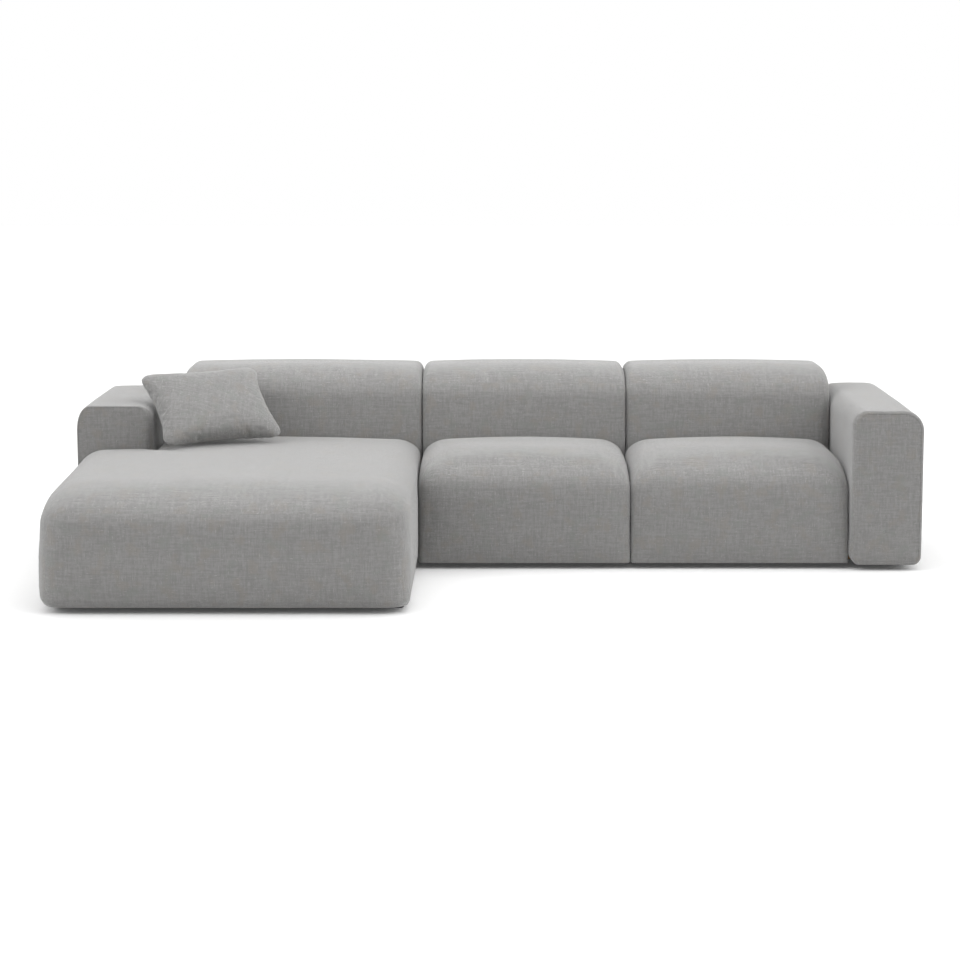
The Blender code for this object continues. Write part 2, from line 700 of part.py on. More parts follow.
def connector(number, pivot_x, catch_x, y, pivot_rail, pivot_element, catch_rail, catch_element):
    """A hook plate that swings on its spindle under one rail, and the headed pin under the next."""
    for x, rail, element, kind in (
        (pivot_x, pivot_rail, pivot_element, "spindle"),
        (catch_x, catch_rail, catch_element, "pin"),
    ):
        drill = round_cutter(f"{kind}_hole_{number}", x, y, PIN_RADIUS + TOUCH)
        combine(rail, [drill])
        element.fixings.append(drill)
    length = catch_x - pivot_x
    plate = prism(f"hook_{number}", hook_outline(length), 2, HOOK_BOTTOM, HOOK_TOP)
    plate.data.transform(plate.matrix_basis)
    plate.location = (pivot_x, y, 0.0)
    slot = as_helper(
        prism(f"hook_slot_{number}", slot_outline(length), 2, HOOK_BOTTOM - CHAMFER, HOOK_TOP + CHAMFER)
    )
    slot.location += Vector((pivot_x, y, 0.0))
    spindle_profile = [
        (0.0, RAIL_BOTTOM + PIN_DEPTH),
        (PIN_RADIUS, RAIL_BOTTOM + PIN_DEPTH),
        (PIN_RADIUS, FIXING_TOP),
        (PIN_FLANGE_RADIUS, FIXING_TOP),
        (PIN_FLANGE_RADIUS, HOOK_BOTTOM - PIN_FLANGE_THICKNESS / 2),
        (0.0, HOOK_BOTTOM - PIN_FLANGE_THICKNESS / 2),
    ]
    spindle = as_helper(turned(f"hook_spindle_{number}", spindle_profile, pivot_x, y))
    combine(combine(dress(plate, "steel"), [slot]), [spindle], "UNION")
    pin_profile = [
        (0.0, RAIL_BOTTOM + PIN_DEPTH),
        (PIN_RADIUS, RAIL_BOTTOM + PIN_DEPTH),
        (PIN_RADIUS, FIXING_TOP),
        (PIN_FLANGE_RADIUS, FIXING_TOP),
        (PIN_FLANGE_RADIUS, FIXING_TOP - PIN_FLANGE_THICKNESS),
        (PIN_RADIUS, FIXING_TOP - PIN_FLANGE_THICKNESS),
        (PIN_RADIUS, PIN_HEAD_TOP),
        (PIN_HEAD_RADIUS, PIN_HEAD_TOP),
        (PIN_HEAD_RADIUS, PIN_HEAD_TOP - PIN_HEAD_THICKNESS),
        (0.0, PIN_HEAD_TOP - PIN_HEAD_THICKNESS),
    ]
    dress(turned(f"catch_pin_{number}", pin_profile, catch_x, y), "steel", smooth=True)


def settle(thing, supports):
    """Lowers a piece until the first of its supports carries it."""
    bpy.context.view_layer.update()
    drop = []
    for support in supports:
        for rising, target, way in ((thing, support, -1.0), (support, thing, 1.0)):
            target.data.calc_loop_triangles()
            points = [target.matrix_world @ vertex.co for vertex in target.data.vertices]
            tree = BVHTree.FromPolygons(points, [t.vertices[:] for t in target.data.loop_triangles])
            for vertex in rising.data.vertices:
                hit = tree.ray_cast(rising.matrix_world @ vertex.co, Vector((0.0, 0.0, way)))
                drop += [hit[3]] if hit[0] else []
    thing.location.z -= min(drop) - TOUCH


def scatter_cushion(supports):
    """A stuffed cushion: two domed faces over an outline with rounded corners and sides drawn in."""
    half = Vector((CUSHION_WIDTH / 2, CUSHION_DEPTH / 2))
    outline = []
    for point, *_ in rounded_ring(rectangle(-half.x, half.x, -half.y, half.y), [0.0] * 4, [CUSHION_CORNER] * 4):
        u, v = point.x / half.x, point.y / half.y
        x = point.x - CUSHION_PULL * u * abs(u) * (1 - v**2)
        y = point.y - CUSHION_PULL * v * abs(v) * (1 - u**2)
        outline.append(Vector((x, y)))
    layers = [(math.sin(math.pi / 2 * step / CUSHION_STEPS), -1) for step in range(CUSHION_STEPS + 1)]
    layers += [(share, 1) for share, _ in layers[-2::-1]]
    shape = bmesh.new()
    rings = []
    for share, face in layers:
        rise = face * CUSHION_THICKNESS / 2 * (1 - share**CUSHION_DOME_POWER) ** CUSHION_RIM_POWER
        points = outline if share else [Vector((0.0, 0.0))]
        rings.append([shape.verts.new((point.x * share, point.y * share, rise)) for point in points])
    skin(shape, rings)
    cushion = dress(add_object("scatter_cushion", shape), "fabric", smooth=True)
    cushion.rotation_euler = Euler((math.pi / 2 - CUSHION_LEAN, 0.0, CUSHION_TURN))
    cushion.location = (X_LEFT_ARM + CUSHION_FROM_ARM, Y_BACK - CUSHION_FROM_BACK, BACK_HEIGHT + CUSHION_WIDTH)
    settle(cushion, supports)


def build():
    clear_scene()
    chaise = Element("chaise", X_LEFT + CHAISE_TAPER, X_JOINT_1, Y_CHAISE, SIDE_PAD, JOINT_PAD)
    middle = Element("middle", X_JOINT_1, X_JOINT_2, Y_SEAT, JOINT_PAD, JOINT_PAD)
    right = Element("right", X_JOINT_2, X_RIGHT, Y_SEAT, JOINT_PAD, SIDE_PAD)
    chaise_sides = base_frame(chaise, X_LEFT_ARM - RAIL_THICKNESS / 2)
    middle_sides = base_frame(middle)
    right_sides = base_frame(right, X_RIGHT_ARM - RAIL_THICKNESS / 2)
    reach = JOINT_PAD + RAIL_THICKNESS / 2
    hook_places = (Y_SEAT + HOOK_INSET, Y_REAR - HOOK_INSET)
    joints = (
        (X_JOINT_1, chaise_sides[1], chaise, middle_sides[0], middle),
        (X_JOINT_2, middle_sides[1], middle, right_sides[0], right),
    )
    number = 0
    for x, pivot_rail, pivot_element, catch_rail, catch_element in joints:
        for y in hook_places:
            number += 1
            connector(
                number, x - reach, x + reach, y, pivot_rail, pivot_element, catch_rail, catch_element
            )
    for element in (chaise, middle, right):
        seat_webbing(element)
        dust_cloth(element)
        glides(element)
    inner, end, rear = BACK_CORNER, BACK_END_CORNER, BACK_REAR_CORNER
    joint_edge, end_edge = BACK_JOINT_EDGE, BACK_END_EDGE
    joined, outer = JOINT_SWELL, SIDE_SWELL
    inside = (joined, joined, joined, outer)
    supports = [
        chaise_seat(chaise),
        arm(
            chaise,
            X_LEFT,
            X_LEFT_ARM,
            Y_LEFT_ARM,
            LEFT_ARM_HEIGHT,
            ((LEFT_ARM_OUTER_REACH, LEFT_ARM_OUTER_FALL), ARM_EDGE),
            (outer, joined, joined, outer),
        ),
        back(chaise, X_LEFT_ARM, X_JOINT_1, [end, inner, rear, rear], (end_edge, joint_edge), inside, BACK_END_TAPER),
    ]
    seat(middle, X_JOINT_1, X_JOINT_2)
    back(middle, X_JOINT_1, X_JOINT_2 + BACK_SHIFT, [inner, inner, rear, rear], (joint_edge, joint_edge), inside)
    seat(right, X_JOINT_2, X_RIGHT_ARM)
    back(right, X_JOINT_2 + BACK_SHIFT, X_RIGHT_ARM, [inner, end, rear, rear], (joint_edge, end_edge), inside)
    arm(
        right,
        X_RIGHT_ARM,
        X_RIGHT,
        Y_SEAT - ARM_LEAD,
        RIGHT_ARM_HEIGHT,
        (ARM_EDGE, RIGHT_ARM_OUTER_EDGE),
        (joined, outer, joined, outer),
    )
    scatter_cushion(supports)


build()
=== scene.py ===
# %% [markdown]
# # A low corner sofa
#
# The sofa has three upholstered units that hook together: a unit with a long chaise seat and a short
# arm, an armless unit, and a unit with a full arm. A loose cushion leans in the corner of the chaise.
#
# The measured model comes first. It is a fixed frame of solids, and every soft piece below is made to
# fit the space that one of those solids holds.

# %% Load the measured model
import math

import bpy
from mathutils import Euler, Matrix, Vector, kdtree, noise
from mathutils.bvhtree import BVHTree


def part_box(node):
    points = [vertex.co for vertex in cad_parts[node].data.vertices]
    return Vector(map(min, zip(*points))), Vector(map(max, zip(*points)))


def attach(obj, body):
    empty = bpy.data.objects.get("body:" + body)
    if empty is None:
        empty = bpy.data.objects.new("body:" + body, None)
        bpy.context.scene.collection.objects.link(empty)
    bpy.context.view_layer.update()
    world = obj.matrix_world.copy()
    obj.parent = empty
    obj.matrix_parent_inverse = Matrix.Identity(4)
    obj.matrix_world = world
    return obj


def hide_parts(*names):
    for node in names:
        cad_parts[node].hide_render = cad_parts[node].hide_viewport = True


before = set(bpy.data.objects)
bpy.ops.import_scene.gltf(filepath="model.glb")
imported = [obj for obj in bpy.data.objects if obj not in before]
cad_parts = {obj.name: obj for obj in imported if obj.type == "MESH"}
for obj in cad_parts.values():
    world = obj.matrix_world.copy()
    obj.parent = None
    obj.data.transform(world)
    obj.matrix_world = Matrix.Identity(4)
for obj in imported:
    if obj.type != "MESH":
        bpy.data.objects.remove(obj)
scene = bpy.context.scene
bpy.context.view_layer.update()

# %% [markdown]
# ## Camera
#
# The photograph was taken from a little above seat height with a long lens, so the uprights stay
# nearly parallel. The camera stands 9.3 m in front of the seats and looks down by about eight degrees.

# %% Camera
CAMERA_DISTANCE = 9.3
CAMERA_HEIGHT = 1.664
CAMERA_PITCH = 8.12
CAMERA_LENS = 95.2

seat_low, seat_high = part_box("middle_seat")
camera = bpy.data.objects.new("camera", bpy.data.cameras.new("camera"))
camera.data.lens = CAMERA_LENS
camera.data.sensor_width = 36
camera.data.shift_x = -14 / 960
camera.location = (-0.0017, seat_low.y - CAMERA_DISTANCE, CAMERA_HEIGHT)
camera.rotation_euler = (math.radians(90 - CAMERA_PITCH), 0, 0)
scene.collection.objects.link(camera)
scene.camera = camera
scene.view_settings.view_transform = "Standard"
print("camera at", [round(v, 3) for v in camera.location])

# %% [markdown]
# ## Shader maths
#
# A material is a net of nodes. Written one by one, the nodes hide what they work out, so this class
# wraps a node's output and lets plain Python expressions add the Math nodes. A colour goes through
# Mix nodes instead, because a Math node would turn it grey.


# %% Expressions that add nodes
class Value:
    """One number of a material that changes over the surface."""

    def __init__(self, finish, socket):
        self.finish, self.socket = finish, socket

    def maths(self, operation, *values):
        return self.finish.node("ShaderNodeMath", {"operation": operation}, dict(enumerate((self, *values))))

    def __add__(self, other):
        return self.maths("ADD", other)

    def __sub__(self, other):
        return self.maths("SUBTRACT", other)

    def __rsub__(self, other):
        return self.finish.number(other).maths("SUBTRACT", self)

    def __mul__(self, other):
        return self.maths("MULTIPLY", other)

    def __truediv__(self, other):
        return self.maths("DIVIDE", other)

    def __gt__(self, other):
        return self.maths("GREATER_THAN", other)

    def __abs__(self):
        return self.maths("ABSOLUTE")

    __radd__ = __add__
    __rmul__ = __mul__


class Finish:
    """A material and the one way to add a node to it."""

    def __init__(self, name, **constants):
        self.material = bpy.data.materials.new(name)
        self.material.use_nodes = True
        self.tree = self.material.node_tree
        self.shader = self.tree.nodes["Principled BSDF"]
        for socket, value in constants.items():
            self.shader.inputs[socket.replace("_", " ")].default_value = value

    def node(self, kind, settings=None, sockets=None, output=0):
        made = self.tree.nodes.new(kind)
        for key, value in (settings or {}).items():
            setattr(made, key, value)
        for key, value in (sockets or {}).items():
            if isinstance(value, Value):
                self.tree.links.new(value.socket, made.inputs[key])
            else:
                made.inputs[key].default_value = value
        return Value(self, made.outputs[output])

    def number(self, value):
        return self.node("ShaderNodeMath", {"operation": "ADD"}, {0: value, 1: 0.0})

    def point(self, x, y, z):
        return self.node("ShaderNodeCombineXYZ", None, {0: x, 1: y, 2: z})

    def noise(self, vector, scale=1.0, detail=2.0, roughness=0.5):
        sockets = {"Vector": vector, "Scale": scale, "Detail": detail, "Roughness": roughness}
        return self.node("ShaderNodeTexNoise", None, sockets)

    def between(self, value, low, high):
        """0 below low, 1 above high, and a smooth rise between them."""
        settings = {"interpolation_type": "SMOOTHSTEP"}
        sockets = {"Value": value, "From Min": low, "From Max": high}
        return self.node("ShaderNodeMapRange", settings, sockets)

    def mix(self, factor, first, second):
        settings = {"data_type": "RGBA"}
        return self.node("ShaderNodeMix", settings, {0: factor, 6: first, 7: second}, output=2)

    def feed(self, socket, value):
        self.tree.links.new(value.socket, self.shader.inputs[socket])

    def bump(self, height, distance, strength):
        sockets = {"Height": height, "Distance": distance, "Strength": strength}
        self.feed("Normal", self.node("ShaderNodeBump", None, sockets))


print("shader helpers are ready")

# %% [markdown]
# ## The cover fabric
#
# The cover is a plain weave of mixed yarns. From a distance it is one light grey, and closer up it
# shows thick and thin threads, pale slubs and brownish flecks.
#
# A woven pattern usually follows the UVs, but these forms have none. Instead each point looks up the
# two axes of the face that it lies on: a top uses X and Y, a front X and Z, a side Y and Z. The same
# pair then drives the threads, the slubs and the flecks.

# %% Fabric
THREAD_PITCH = 0.0021
FABRIC_PALE = (0.284, 0.280, 0.276, 1.0)
FABRIC_DARK = (0.228, 0.225, 0.221, 1.0)
FLECK_PALE = (0.44, 0.43, 0.42, 1.0)
FLECK_DARK = (0.14, 0.136, 0.132, 1.0)
TINT_BROWN = (0.262, 0.246, 0.226, 1.0)
TINT_GREEN = (0.236, 0.246, 0.232, 1.0)


def split(finish, vector):
    separate = finish.node("ShaderNodeSeparateXYZ", None, {0: vector})
    outputs = separate.socket.node.outputs
    return [Value(finish, outputs[i]) for i in range(3)]


def cloth_axes(finish):
    """The two directions of the threads at each point, in metres."""
    position = finish.node("ShaderNodeTexCoord", None, None, output=3)
    normal = finish.node("ShaderNodeTexCoord", None, None, output=1)
    x, y, z = split(finish, position)
    across, ahead, up = (abs(part) for part in split(finish, normal))
    is_side = (across > ahead) * (across > up)
    is_top = (up > ahead) * (up > across)
    u = x + is_side * (y - x)
    v = z + is_top * (y - z)
    return u, v, is_side + is_top * 2


def woven(name, seed, shade=1.0):
    """The cover's cloth. shade makes all its yarns darker or lighter; below 1 it is painted shade."""
    finish = Finish(name, Sheen_Weight=0.72, Sheen_Roughness=0.4, Specular_IOR_Level=0.2)
    u, v, face = cloth_axes(finish)
    layer = face * 3.7 + seed

    def yarn(stretch_u, stretch_v, detail=2.0, shift=0.0):
        point = finish.point(u * stretch_u + shift, v * stretch_v, layer)
        return finish.noise(point, 1.0, detail)

    # Scales a colour by shade, which is painted shade where shade is below 1.
    def with_painted_shade(colour):
        return tuple(channel * shade for channel in colour[:3]) + (1.0,)

    warp_streak = yarn(250, 22)
    weft_streak = yarn(20, 270)
    warp_band = yarn(105, 12, 2.0, 3.0)
    weft_band = yarn(11, 115, 2.0, 9.0)
    mottle = yarn(85, 85, 3.0)
    tone = (warp_streak + weft_streak + warp_band + weft_band + mottle) * 0.2
    colour = finish.mix(finish.between(tone, 0.41, 0.59), with_painted_shade(FABRIC_DARK), with_painted_shade(FABRIC_PALE))
    colour = finish.mix(finish.between(yarn(17, 15, 3.0), 0.52, 0.66) * 0.55, colour, with_painted_shade(TINT_BROWN))
    colour = finish.mix(finish.between(yarn(15, 18, 3.0, 31.0), 0.54, 0.68) * 0.5, colour, with_painted_shade(TINT_GREEN))
    slub = finish.between(yarn(55, 420, 2.0, 7.0), 0.665, 0.73)
    slub_upright = finish.between(yarn(430, 50, 2.0, 19.0), 0.66, 0.725)
    speck = finish.between(yarn(260, 300, 1.0, 5.0), 0.74, 0.80)
    pale = (slub + slub_upright + speck).maths("MINIMUM", 1.0)
    colour = finish.mix(pale * 0.62, colour, with_painted_shade(FLECK_PALE))
    dark_thread = finish.between(yarn(60, 390, 2.0, 43.0), 0.68, 0.75)
    dark_upright = finish.between(yarn(400, 60, 2.0, 57.0), 0.68, 0.75)
    dark = (dark_thread + dark_upright).maths("MINIMUM", 1.0)
    finish.feed("Base Color", finish.mix(dark * 0.5, colour, with_painted_shade(FLECK_DARK)))

    def thread(along):
        return abs((along / THREAD_PITCH).maths("FRACT") * 2.0 - 1.0)

    def odd(along):
        return (along / (2 * THREAD_PITCH)).maths("FRACT") > 0.5

    over = odd(u) + odd(v) - odd(u) * odd(v) * 2.0
    weave = thread(u) * over + thread(v) * (1 - over)
    finish.bump(weave * 0.3 + pale * 0.4 + warp_streak * 0.9 + weft_streak * 0.9, 0.0018, 0.72)
    finish.feed("Roughness", 0.86 + weave * 0.1)
    return finish.material


cover_fabric = woven("cover_fabric", 0.0)
# The cushion's cloth is the cover's cloth made three per cent darker: painted shade on the loose cushion.
cushion_fabric_painted_shade = woven("cushion_fabric_painted_shade", 11.3, 0.97)
print("fabric nodes:", len(cover_fabric.node_tree.nodes))

# %% [markdown]
# ## Forms with rounded edges
#
# Every block of the sofa is foam with a tight cover: a box whose upright corners, top edge and hem all
# have their own radius. It is made as a stack of rings, each the outline seen from above, drawn in a
# little further where the edge turns over. The rings are joined by faces, as a loft joins its sections.

# %% Rings and skins
ARC_STEPS = 8
EDGE_STEPS = 12
SIDE_LEVELS = 10
CAP_SHARES = (0.93, 0.84, 0.73, 0.61, 0.48, 0.34, 0.18)
CAP_FLATNESS = 3
RING_STEP = 0.022
SMALLEST_FILLET = 0.004
UNDULATION = 0.0012


def rounded_ring(corners, insets, radii):
    """Points round an outline of square corners, each with the two sides it lies between and its share."""
    count = len(corners)
    along = [Vector(corners[(i + 1) % count]) - Vector(corners[i]) for i in range(count)]
    steps = [max(3, math.ceil(side.length / RING_STEP)) for side in along]
    along = [side.normalized() for side in along]
    arcs = []
    for i in range(count):
        before, after = along[i - 1], along[i]
        turn = before.x * after.y - before.y * after.x
        inward = Vector((-before.y, before.x)) * insets[i - 1] + Vector((-after.y, after.x)) * insets[i]
        corner = Vector(corners[i]) + inward
        radius = max(radii[i] - turn * min(insets[i - 1], insets[i]), SMALLEST_FILLET)
        centre = corner + (after - before) * radius
        arc = []
        for step in range(ARC_STEPS + 1):
            share = step / ARC_STEPS
            angle = share * math.pi / 2
            point = centre - after * radius * math.cos(angle) + before * radius * math.sin(angle)
            arc.append((point, (i - 1) % count, i, share))
        arcs.append(arc)
    points = []
    for i in range(count):
        points += arcs[i]
        start, end = arcs[i][-1][0], arcs[(i + 1) % count][0][0]
        for step in range(1, steps[i]):
            share = (1 - math.cos(math.pi * step / steps[i])) / 2
            points.append((start.lerp(end, share), i, i, 0.0))
    return points


def skin(name, rings, close=True):
    """A mesh through rings of equal length, closed at both ends by a single middle point."""
    count = len(rings[0])
    points = [point for ring in rings for point in ring]
    faces = []
    for level in range(len(rings) - 1):
        base = level * count
        for i in range(count):
            j = (i + 1) % count
            faces.append((base + i, base + j, base + count + j, base + count + i))
    for ring, turned in ((0, True), (len(rings) - 1, False)) if close else ():
        middle = len(points)
        points.append(sum(rings[ring], Vector()) / count)
        for i in range(count):
            corners = (ring * count + i, ring * count + (i + 1) % count, middle)
            faces.append(corners[::-1] if turned else corners)
    mesh = bpy.data.meshes.new(name)
    mesh.from_pydata(points, [], faces)
    mesh.validate()
    mesh.shade_smooth()
    piece = bpy.data.objects.new(name, mesh)
    scene.collection.objects.link(piece)
    return piece


def undulate(point, seed):
    """The slow unevenness that foam and a hand-fitted cover have."""
    return point + noise.noise_vector(point * 4.1 + Vector((seed, 0, 0))) * UNDULATION


print("rings with", ARC_STEPS, "steps to a corner")

# %% [markdown]
# ## Blocks
#
# A block is drawn over its solid's box. Its hem turns under the frame and stops at the black cloth
# there, so the underside stays open as on a real sofa. The corners of its outline are tight at the hem,
# where the cover is tacked to a square frame, and wider at the shoulder, where only foam fills it.
#
# A warp then crowns the top and draws the sides in towards their edges, as a tight cover does.

#
# The top edges are parts of ovals: on the seats they reach far over the top and fall less, because the
# foam is compressed there. Where two edges meet, each takes its own depth off, by the distance from its
# side, so that no fold shows between them.

# %% A block from its pattern
UNDERSIDE = 0.0302
HEM_EDGE = 0.012


class Pattern:
    """What a cover is cut to: an outline seen from above, its top edges and the radii of its corners.

    A top edge is a radius, or its reach over the top and its fall down the side where it is oval.
    """

    def __init__(self, corners, edges, radii, shoulders, centre=None):
        self.corners, self.radii, self.shoulders, self.centre = corners, radii, shoulders, centre
        self.reaches, self.falls = zip(*(e if isinstance(e, tuple) else (e, e) for e in edges))
        self.sides = [(Vector(a), Vector(b)) for a, b in zip(corners, corners[1:] + corners[:1])]
        self.middle = centre or sum((start for start, _ in self.sides), Vector((0, 0))) / len(corners)

    def ring(self, insets, share=0.0):
        """The outline moved in by insets, with corners that grow from the hem to the shoulder."""
        radii = [r * (1 - share) + s * share for r, s in zip(self.radii, self.shoulders)]
        return rounded_ring(self.corners, insets, radii)

    def taken_off(self, point, number):
        """How much the top edge of one side lowers the top at a point."""
        start, end = self.sides[number]
        along = end - start
        share = min(1.0, max(0.0, (point - start).dot(along) / along.length_squared))
        near = max(0.0, 1 - (point - start.lerp(end, share)).length / self.reaches[number])
        return self.falls[number] * (1 - math.sqrt(1 - near**2))

    def depths(self, ring, share):
        """How far each point of a ring lies below the top; share is how far its own edge has fallen."""
        found = {}
        for number, (point, first, second, turned) in enumerate(ring):
            if turned in (0, 1):
                own = second if turned else first
                others = (i for i in range(len(self.sides)) if i != own)
                found[number] = self.falls[own] * share + sum(self.taken_off(point, i) for i in others)
        depths = []
        for number, (_, _, _, turned) in enumerate(ring):
            start = number - round(turned * ARC_STEPS)
            arc = 0 < turned < 1
            depths.append(
                found[start] * (1 - turned) + found[start + ARC_STEPS] * turned if arc else found[number]
            )
        return depths


def block(name, pattern, low, high, hem, under, warp):
    """Rings from the underside over the hem, the side and the top edge to the middle of the top."""
    middle = pattern.middle
    turned = pattern.ring(under)
    rings = [[(middle.lerp(p[0], share), UNDERSIDE) for p in turned] for share in (0.4, 0.8)]
    rings += [[(p[0], UNDERSIDE) for p in turned], [(p[0], low) for p in turned]]
    for step in range(EDGE_STEPS + 1):
        angle = step / EDGE_STEPS * math.pi / 2
        ring = pattern.ring([min(hem, u) * (1 - math.sin(angle)) for u in under])
        rings.append([(p[0], low + hem * (1 - math.cos(angle))) for p in ring])
    flat = [0.0] * len(under)
    shoulder = pattern.depths(pattern.ring(flat, 1.0), 1.0)
    for level in range(1, SIDE_LEVELS):
        share = level / SIDE_LEVELS
        side = pattern.ring(flat, share**2)
        rings.append(
            [(p[0], (low + hem) * (1 - share) + (high - depth) * share) for p, depth in zip(side, shoulder)]
        )
    for step in range(EDGE_STEPS + 1):
        angle = (1 - step / EDGE_STEPS) * math.pi / 2
        ring = pattern.ring([reach * (1 - math.sin(angle)) for reach in pattern.reaches], 1.0)
        below = pattern.depths(ring, 1 - math.cos(angle))
        rings.append([(p[0], high - depth) for p, depth in zip(ring, below)])
    last = rings[-1]
    crest = pattern.centre or sum((p for p, _ in last), Vector((0, 0))) / len(last)
    for share in CAP_SHARES:
        rings.append([(crest.lerp(p, share), high - (high - z) * share**CAP_FLATNESS) for p, z in last])
    return skin(name, [[warp(Vector((p.x, p.y, z))) for p, z in ring] for ring in rings])


def swelling(low, high, crown, draw, seed):
    """A warp that crowns the top towards the rear and draws the sides in towards their edges.

    draw holds how far the left, right, front and rear side are drawn in.
    """
    middle, half = (low + high) / 2, (high - low) / 2

    def warp(point):
        u, v, w = ((point[i] - middle[i]) / half[i] for i in range(3))
        fall = 1 - (1 - u**2) * (1 - min(v, 0.0) ** 2)
        drawn_x = (draw[0] if u < 0 else draw[1]) * (1 - (1 - v**4) * (1 - w**2))
        drawn_y = (draw[2] if v < 0 else draw[3]) * (1 - (1 - u**4) * (1 - w**2))
        x = point.x - u * abs(u) ** 3 * drawn_x
        y = point.y - v * abs(v) ** 3 * drawn_y
        z = point.z - crown * fall * max(w, 0.0) ** 2
        return undulate(Vector((x, y, z)), seed)

    return warp


print("blocks have", len(CAP_SHARES) + SIDE_LEVELS + 2 * EDGE_STEPS + 5, "rings")

# %% [markdown]
# ## Stuffing the covers
#
# A cover doesn't keep the drawn form: the foam inside pushes it out in the middle of each face, and the
# cloth pulls its edges in. Cloth physics works that out. An even mesh of small squares is made over the
# form, held along the hem where the cover is tacked, and given an inner pressure for a few frames.
#
# Such a mesh would lose fine things like a sewn groove. So only its movement is kept: every point of the
# drawn form moves as the nearest points of the even mesh did, and no further than the foam gives way.

# %% Cloth physics for covers
FRAMES = 12
NEAREST = 4


def even_mesh(piece, size):
    """A copy of a piece as an even mesh, ready to be used as cloth."""
    shell = bpy.data.objects.new(piece.name + "_shell", piece.data.copy())
    scene.collection.objects.link(shell)
    remesh = shell.modifiers.new("even_mesh", "REMESH")
    remesh.mode, remesh.voxel_size = "VOXEL", size
    seen = shell.evaluated_get(bpy.context.evaluated_depsgraph_get())
    shell.data = bpy.data.meshes.new_from_object(seen)
    shell.modifiers.clear()
    return shell


def blown_up(shell, pressure, held, frames=FRAMES, bending=0.5):
    """Where the shell's points are after some frames of cloth physics with an inner pressure."""
    group = shell.vertex_groups.new(name="held")
    group.add(held, 1.0, "REPLACE")
    cloth = shell.modifiers.new("cover", "CLOTH")
    cloth.settings.use_pressure = True
    cloth.settings.uniform_pressure_force = pressure
    cloth.settings.effector_weights.gravity = 0.0
    cloth.settings.bending_stiffness = bending
    if held:
        cloth.settings.vertex_group_mass = "held"
    for number in range(1, frames + 1):
        scene.frame_set(number)
    seen = shell.evaluated_get(bpy.context.evaluated_depsgraph_get())
    end = [vertex.co.copy() for vertex in seen.data.vertices]
    shell.modifiers.clear()
    scene.frame_set(1)
    return end


def stuffed(piece, low, high, size, pressure, reach, hem_top):
    """Moves a cover's points as cloth physics moves them, by no more than reach and inside low to high."""
    shell = even_mesh(piece, size)
    start = [vertex.co.copy() for vertex in shell.data.vertices]
    held = [i for i, point in enumerate(start) if point.z < hem_top]
    end = blown_up(shell, pressure, held)
    tree = kdtree.KDTree(len(start))
    for i, point in enumerate(start):
        tree.insert(point, i)
    tree.balance()
    furthest = 0.0
    for vertex in piece.data.vertices:
        near = tree.find_n(vertex.co, NEAREST)
        weights = [1 / (distance + size / 4) for _, _, distance in near]
        moved = sum((weight * (end[i] - start[i]) for weight, (_, i, _) in zip(weights, near)), Vector())
        moved /= sum(weights)
        if moved.length > reach:
            moved *= reach / moved.length
        goal = vertex.co + moved
        vertex.co = [min(max(goal[i], low[i]), high[i]) for i in range(3)]
        furthest = max(furthest, moved.length)
    bpy.data.objects.remove(shell)
    print(piece.name, "cloth points:", len(start), "moved up to", round(furthest * 1000, 1), "mm")
    return piece


def finish_piece(piece, node, body, material):
    """What every soft piece gets: a finish, the solid that it stands for and the body that it rides on."""
    piece.data.materials.append(material)
    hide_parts(node)
    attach(piece, body)
    print(piece.name, "faces", len(piece.data.polygons))
    return piece


# %% [markdown]
# ## Seats
#
# A seat's cover is one hood that runs from the back over the front edge down to the hem. Its front and
# side edges are wide curves and its top is crowned, so that it makes an arch between the dark joints.

# %% Seats
COVER_GIVE = 0.004
COVER_PRESSURE = 3.0
SEAT_CROWN = 0.016
JOINT_SWELL = 0.0015
SIDE_SWELL = 0.005
FRONT_SWELL = 0.012
SEAT_FRONT_EDGE = (0.30, 0.125)
SEAT_SIDE_EDGE = (0.10, 0.075)
HIDDEN_EDGE = 0.015
SEAT_CORNER = 0.022
SEAT_SHOULDER = 0.045
HEM_DROP = 0.004
CHAISE_HEM_DROP = 0.006
HEM_FADE = 0.10
HOOK_ROOM = 0.05
SHELL_SIZE = 0.018


def rectangle(low, high):
    return [(low.x, low.y), (high.x, low.y), (high.x, high.y), (low.x, high.y)]


def turned_under(node, low, high):
    """How far each side's hem reaches under: to the black cloth, or nothing where a neighbour adjoins."""
    cloth_low, cloth_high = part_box(node)
    reach = (cloth_low.y - low.y, high.x - cloth_high.x, high.y - cloth_high.y, cloth_low.x - low.x)
    return [max(0.001, r) for r in reach]


hooks = [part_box(f"hook_{number}") for number in (1, 3)]


def hung(point, low, drop):
    """Lets a hem hang lower by drop, but not where a hook crosses the joint beside it."""
    share = max(0.0, 1 - max(0.0, point.z - low.z) / HEM_FADE)
    if share:
        for hook_low, hook_high in hooks:
            ahead = (hook_low.y - point.y) / HOOK_ROOM - 1
            beside = max(hook_low.x - point.x, point.x - hook_high.x) / HOOK_ROOM - 1
            share *= min(1.0, max(0.0, ahead, beside))
    return point - Vector((0, 0, drop * share))


